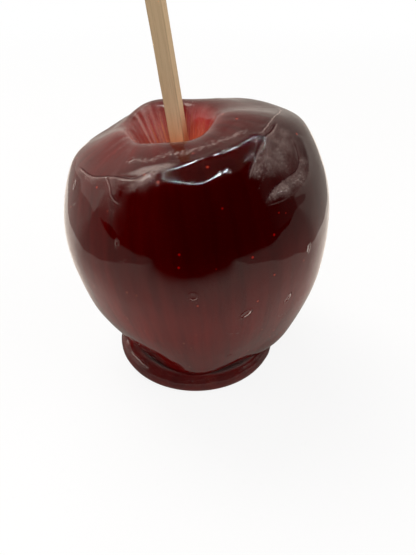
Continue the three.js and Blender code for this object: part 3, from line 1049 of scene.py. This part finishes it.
class TOFFEEAPPLE_OT_toffee(bpy.types.Operator):
    """Builds the clear toffee coat with its folds, bubbles and foot"""

    bl_idname = "toffee_apple.toffee"
    bl_label = "Toffee"

    def execute(self, context):
        s = sizes()
        station = along(TOFFEE_ROWS)
        profile = spline(PROFILE, station)
        radius, height = np.maximum(profile[:, 0], 0), profile[:, 1]
        angle = around(TOFFEE_COLUMNS, 0.45)
        points = grid(radius, height, station, angle)
        facing = normals(points)
        film, crease = marks(points, facing, station, angle)
        # Milky toffee, partly painted reflection.
        milky = veil(points, facing, station, angle)
        lift = relief(points, facing, station, angle, s)
        points = points + facing * lift[..., None]
        place, bold = bubble_places(points)
        climb_reach = 0.9
        climb = s.meniscus * np.exp(-beside_stick(points) / climb_reach)
        points[..., 2] += climb * fall(1.2, 1.9, station)[:, None]
        sole = np.array([1.0, 0.8, 0.55, 0.25, 0.0]) * SOLE_RADIUS
        end = np.full(len(sole), float(LAST_STATION))
        under = grid(sole, 0 * sole, end, angle)
        points = np.vstack([points, under])
        inner, _, inner_angle = core_grid(
            s.coat + INTO_SKIN, s.hollow_coat + INTO_SKIN, INSIDE_COLUMNS)
        inner = inner[::2]
        outer = closed_ends(points)
        vertices = np.vstack([outer, closed_ends(inner)])
        faces = lathe_faces(len(points) - 2, len(angle))
        faces += lathe_faces(len(inner) - 2, len(inner_angle), len(outer), flip=True)

        # The sole and the inside are plain: they carry 0, and 9 radii from any bubble.
        carried = {"film": (film, 0.0), "crease": (crease, 0.0), "veil": (milky, 0.0),
                   "bubble": (place, 9.0), "bubble_bold": (bold, 0.0)}
        values = {}
        for key, (value, plain) in carried.items():
            below = np.full((*under.shape[:2], *value.shape[2:]), plain)
            value = closed_ends(np.vstack([value, below]))
            inside = np.full((len(vertices) - len(outer), *value.shape[1:]), plain)
            values[key] = np.concatenate([value, inside])
        low = vertices[:, 2] < 1e-6
        kinds = np.array([low[face[0]] and low[face[2]] for face in faces], int)
        piece = add_piece("toffee_coat_clear", vertices, faces,
                          [toffee_material(colours()), underside_material(colours())],
                          values, kinds)
        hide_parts("toffee_coat")
        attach(piece, "root")
        return {"FINISHED"}


class TOFFEEAPPLE_OT_stick(bpy.types.Operator):
    """Builds the square wooden stick, with rounded arrises and fine straight grain"""

    bl_idname = "toffee_apple.stick"
    bl_label = "Stick"

    def execute(self, context):
        per_side, corner, rows = 6, 5, 90
        half, soft, edge = STICK_SIDE / 2, 0.4, 1.2
        flat = np.linspace(-(half - soft), half - soft, per_side, endpoint=False)
        face = np.stack([np.full(per_side, half), flat], -1)
        bend = np.linspace(0, math.pi / 2, corner, endpoint=False)
        arc = half - soft + soft * np.stack([np.cos(bend), np.sin(bend)], -1)
        ring = []
        for quarter in range(4):
            turn = quarter * math.pi / 2
            spin = np.array([[math.cos(turn), math.sin(turn)], [-math.sin(turn), math.cos(turn)]])
            ring += [face @ spin, arc @ spin]
        ring = np.vstack(ring)
        worn = np.tile(np.concatenate([np.zeros(per_side), np.sin(2 * bend)]), 4)

        # The rows of both ends draw in, so that their edges are softly broken.
        drop, width = np.array([0.0, 0.0, 0.08, 0.4]), np.array([0.0, 0.90, 0.965, 1.0])
        top, bottom = STICK_TOP - STICK_AT[2], STICK_TOP - STICK_AT[2] - STICK_LENGTH
        z = np.concatenate([top - drop, np.linspace(top - edge, bottom + edge, rows),
                            bottom + drop[::-1]])
        shrink = np.concatenate([width, np.ones(rows), width[::-1]])[:, None, None]
        own = np.concatenate([shrink * ring, np.broadcast_to(
            z[:, None, None], (len(z), len(ring), 1))], -1)
        uneven = waves(own * np.array([1, 1, 0.12]), 3.0, 41)
        inset = 0.025 * np.abs(uneven * (0.4 + worn))
        own[..., :2] *= 1 - inset[..., None]
        axes, at = stick_frame()
        points = own @ axes + at
        # Warm tint low in the hollow: partly damp, partly painted red bounce light.
        damp = fall(STICK_DAMP_AND_BOUNCE, STICK_UNTINTED, points[..., 2])
        values = {"own": own, "arris": worn + 0 * damp, "damp": damp}
        piece = add_piece(
            "stick_wood", closed_ends(points), lathe_faces(len(z) - 2, len(ring)),
            [wood_material(colours())], {key: closed_ends(v) for key, v in values.items()})
        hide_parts("stick")
        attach(piece, "root")
        return {"FINISHED"}


class TOFFEEAPPLE_OT_stage(bpy.types.Operator):
    """Builds the pale floor, the soft lights, the surroundings and the camera"""

    bl_idname = "toffee_apple.stage"
    bl_label = "Stage"

    def execute(self, context):
        scene = context.scene
        s = scene.toffee_apple_stage
        self.floor(s)
        self.lamp_string(s)
        self.world(scene, s)
        for name, place, size, setting in SOFT_LAMPS:
            self.lamp(name, place, size, getattr(s, setting))
        data = bpy.data.cameras.new("camera")
        data.sensor_width = 36
        data.lens = CAMERA_FOCUS * data.sensor_width
        data.clip_start, data.clip_end = 0.01, 20
        camera = bpy.data.objects.new("camera", data)
        camera.location = CAMERA_PLACE
        camera.rotation_euler = (math.radians(90 - CAMERA_DOWN), 0, 0)
        scene.collection.objects.link(camera)
        scene.camera = camera
        scene.view_settings.view_transform = "Standard"
        scene.view_settings.look = "None"
        return {"FINISHED"}

    def lamp(self, name, place, size, power):
        """A square soft lamp aimed at the apple, not seen in the gloss."""
        data = bpy.data.lights.new(name, "AREA")
        data.shape, data.size, data.energy = "SQUARE", size, power
        lamp = bpy.data.objects.new(name, data)
        lamp.location = place
        aim = Vector((0, 0, 0.05)) - Vector(place)
        lamp.rotation_euler = aim.to_track_quat("-Z", "Y").to_euler()
        lamp.visible_glossy = lamp.visible_transmission = lamp.visible_camera = False
        bpy.context.scene.collection.objects.link(lamp)

    def lamp_string(self, s):
        """Small lamps in a closed string overhead, seen only in the gloss: long octahedra one
        metre from the apple that lie square to the string, some of them smaller."""
        turn, up = np.radians(np.array(LAMP_STRING + LAMP_STRING[:1])).T
        ways = np.stack([np.cos(up) * np.cos(turn), np.cos(up) * np.sin(turn), np.sin(up)], -1)
        at = np.linspace(0, len(ways) - 1, LAMP_COUNT, endpoint=False)
        ways = spline(ways, at)
        ways /= np.linalg.norm(ways, axis=1, keepdims=True)
        size = 1 - 0.6 * sum(hump(at - middle, width) for middle, width in SMALL_LAMPS)
        ahead = (np.roll(ways, -1, 0) - np.roll(ways, 1, 0)) * LAMPS_AWAY / 2 * size[:, None]
        axes = np.stack([0.18 * ahead, 0.36 * np.cross(ways, ahead), 6 * ways], 1)
        centres = LAMPS_AWAY * ways[:, None] + LAMPS_ROUND
        vertices = centres + np.concatenate([axes, -axes], 1)
        sides = np.array([(0, 1, 2), (1, 3, 2), (3, 4, 2), (4, 0, 2),
                          (1, 0, 5), (3, 1, 5), (4, 3, 5), (0, 4, 5)])
        faces = (np.arange(LAMP_COUNT)[:, None, None] * 6 + sides).reshape(-1, 3).tolist()
        material, tree = material_tree("lamp_white")
        glow = node(tree, "ShaderNodeEmission", {"Color": rgba(1), "Strength": s.lamp_string})
        finish(tree, glow)
        material.cycles.emission_sampling = "NONE"
        string = add_piece("lamp_string", vertices.reshape(-1, 3), faces, [material])
        string.visible_camera = string.visible_diffuse = string.visible_transmission = False
        string.visible_shadow = string.visible_volume_scatter = False
        return string

    def floor(self, s):
        """A wide pale floor just under the foot. In the gloss it glows as a lit board in a dimmer
        room, with a painted shadow close to the foot, paler behind the apple, and a painted shadow
        past a line in front, which bends away to both sides with 5 times the square of the distance
        from its middle."""
        half, below = 3000.0, 0.1
        corners = np.array([(-half, -half), (half, -half), (half, half), (-half, half)])
        corners = np.hstack([corners, np.full((4, 1), -below)])
        material, tree = material_tree("floor_pale")
        place = object_place(tree)
        x, y, _ = three(place)
        away = node(tree, "ShaderNodeVectorMath", {0: place}, operation="LENGTH")
        away = Value(away.outputs["Value"])
        # Painted shadow round the foot, seen in the gloss.
        painted_foot_shadow = span(away, 0.025, 0.075, 0.35, 1.0)
        aside = x + 0.02
        line = (aside * aside * 5.0 + 0.122).math("MINIMUM", 0.30)
        # Painted shadow past a line in front, seen in the gloss.
        painted_front_shadow = span(y + line, -0.063, 0.037, 0.0, 1.0)
        left, right, back = BOARD_EDGES
        board = x.math("GREATER_THAN", left) * x.math("LESS_THAN", right)
        board = board * y.math("LESS_THAN", back)
        shade = mix_colour(board, s.beside, s.board)
        shade = mix_colour(1.0, shade, s.light_tint, "MULTIPLY")
        behind = span(y, 0.0, 0.06, 1.0, s.floor_behind)
        level = painted_front_shadow * painted_foot_shadow * behind
        seen = node(tree, "ShaderNodeEmission", {"Color": shade, "Strength": level})
        lit = node(tree, "ShaderNodeBsdfDiffuse", {"Color": rgba(0.85)})
        glow = node(tree, "ShaderNodeEmission", {"Color": rgba(s.floor)})
        clean = node(tree, "ShaderNodeMixShader", {
            0: span(away, 0.2, 0.8, 0.14, 0.0), 1: glow, 2: lit})
        both = node(tree, "ShaderNodeMixShader", {0: is_ray(tree, "Camera"), 1: seen, 2: clean})
        finish(tree, both)
        material.cycles.emission_sampling = "NONE"
        return add_piece("floor", corners, [[0, 1, 2, 3]], [material])

    def world(self, scene, s):
        """A pale backdrop. In the gloss: a room that is paler on the left and dimmer low on the
        right, with a strip light high at the back, two windows high at the sides and a faint
        ceiling. A tall dark opening in front reaches over the top. Its soft edge starts where
        (angle up from the front over 125 degrees) to the power 1.5, plus (sideways over 0.9)
        squared, is 0.95."""
        world = bpy.data.worlds.new("studio")
        world.use_nodes = True
        scene.world = world
        tree = world.node_tree
        tree.nodes.clear()
        way = Value(node(tree, "ShaderNodeTexCoord").outputs["Generated"])
        x, y, z = three(way)
        over = z.math("MAXIMUM", 0.001).math("ARCTAN2", y * -1.0)
        sideways = x / 0.9
        spread = (over / math.radians(125)).math("POWER", 1.5) + sideways * sideways
        edge = span(over, 1.05, 1.75, 0.9, 0.10)
        opened = (spread - 0.95).math("DIVIDE", edge, clamp=True)
        level = span(x, -0.8, -0.3, 1.0, 0.0) * s.room_left + s.room
        strip = span((z - 0.77).math("ABSOLUTE"), 0.03, 0.07, 1.0, 0.0)
        level = level + strip * span(y, 0.40, 0.56, 0.0, s.strip)
        dim = span(x, 0.72, 0.92, 0.0, 0.6) * span(z, 0.2, 0.5, 1.0, 0.0)
        level = level * (1.0 - dim)
        for direction, wide, narrow, setting in WINDOWS:
            facing = node(tree, "ShaderNodeVectorMath", {0: way, 1: direction},
                          operation="DOT_PRODUCT").outputs["Value"]
            level = level + span(Value(facing), wide, narrow, 0.0, getattr(s, setting))
        seen = level * opened + span(z, 0.86, 0.94, 0.0, 0.12)
        room = node(tree, "ShaderNodeBackground", {"Color": rgba(s.light_tint), "Strength": seen})
        backdrop = node(tree, "ShaderNodeBackground", {"Color": rgba(0.985)})
        finish(tree, node(tree, "ShaderNodeMixShader", {
            0: is_ray(tree, "Camera"), 1: room, 2: backdrop}), kind="World")
        world.cycles.sampling_method = "NONE"


class TOFFEEAPPLE_PT_panel(bpy.types.Panel):
    """Lists the pieces and their settings"""

    bl_idname = "TOFFEEAPPLE_PT_panel"
    bl_label = "Toffee Apple"
    bl_space_type = "VIEW_3D"
    bl_region_type = "UI"
    bl_category = "Toffee Apple"

    def draw(self, context):
        layout = self.layout
        for operator in OPERATORS:
            layout.operator(operator.bl_idname)
        for group in (context.scene.toffee_apple_sizes, context.scene.toffee_apple_colours,
                      context.scene.toffee_apple_stage):
            box = layout.box()
            for key in group.bl_rna.properties.keys():
                if key not in ("rna_type", "name"):
                    box.prop(group, key)


OPERATORS = (TOFFEEAPPLE_OT_apple, TOFFEEAPPLE_OT_toffee,
             TOFFEEAPPLE_OT_stick, TOFFEEAPPLE_OT_stage)
GROUPS = {
    "toffee_apple_sizes": ToffeeAppleSizes,
    "toffee_apple_colours": ToffeeAppleColours,
    "toffee_apple_stage": ToffeeAppleStage,
}


def register():
    for group in GROUPS.values():
        bpy.utils.register_class(group)
    for name, group in GROUPS.items():
        setattr(bpy.types.Scene, name, bpy.props.PointerProperty(type=group))
    for operator in OPERATORS:
        bpy.utils.register_class(operator)
    bpy.utils.register_class(TOFFEEAPPLE_PT_panel)


def unregister():
    bpy.utils.unregister_class(TOFFEEAPPLE_PT_panel)
    for operator in reversed(OPERATORS):
        bpy.utils.unregister_class(operator)
    for name, group in reversed(GROUPS.items()):
        delattr(bpy.types.Scene, name)
        bpy.utils.unregister_class(group)


def main():
    register()
    for operator in OPERATORS:
        family, action = operator.bl_idname.split(".")
        getattr(getattr(bpy.ops, family), action)()


if __name__ == "__main__":
    main()
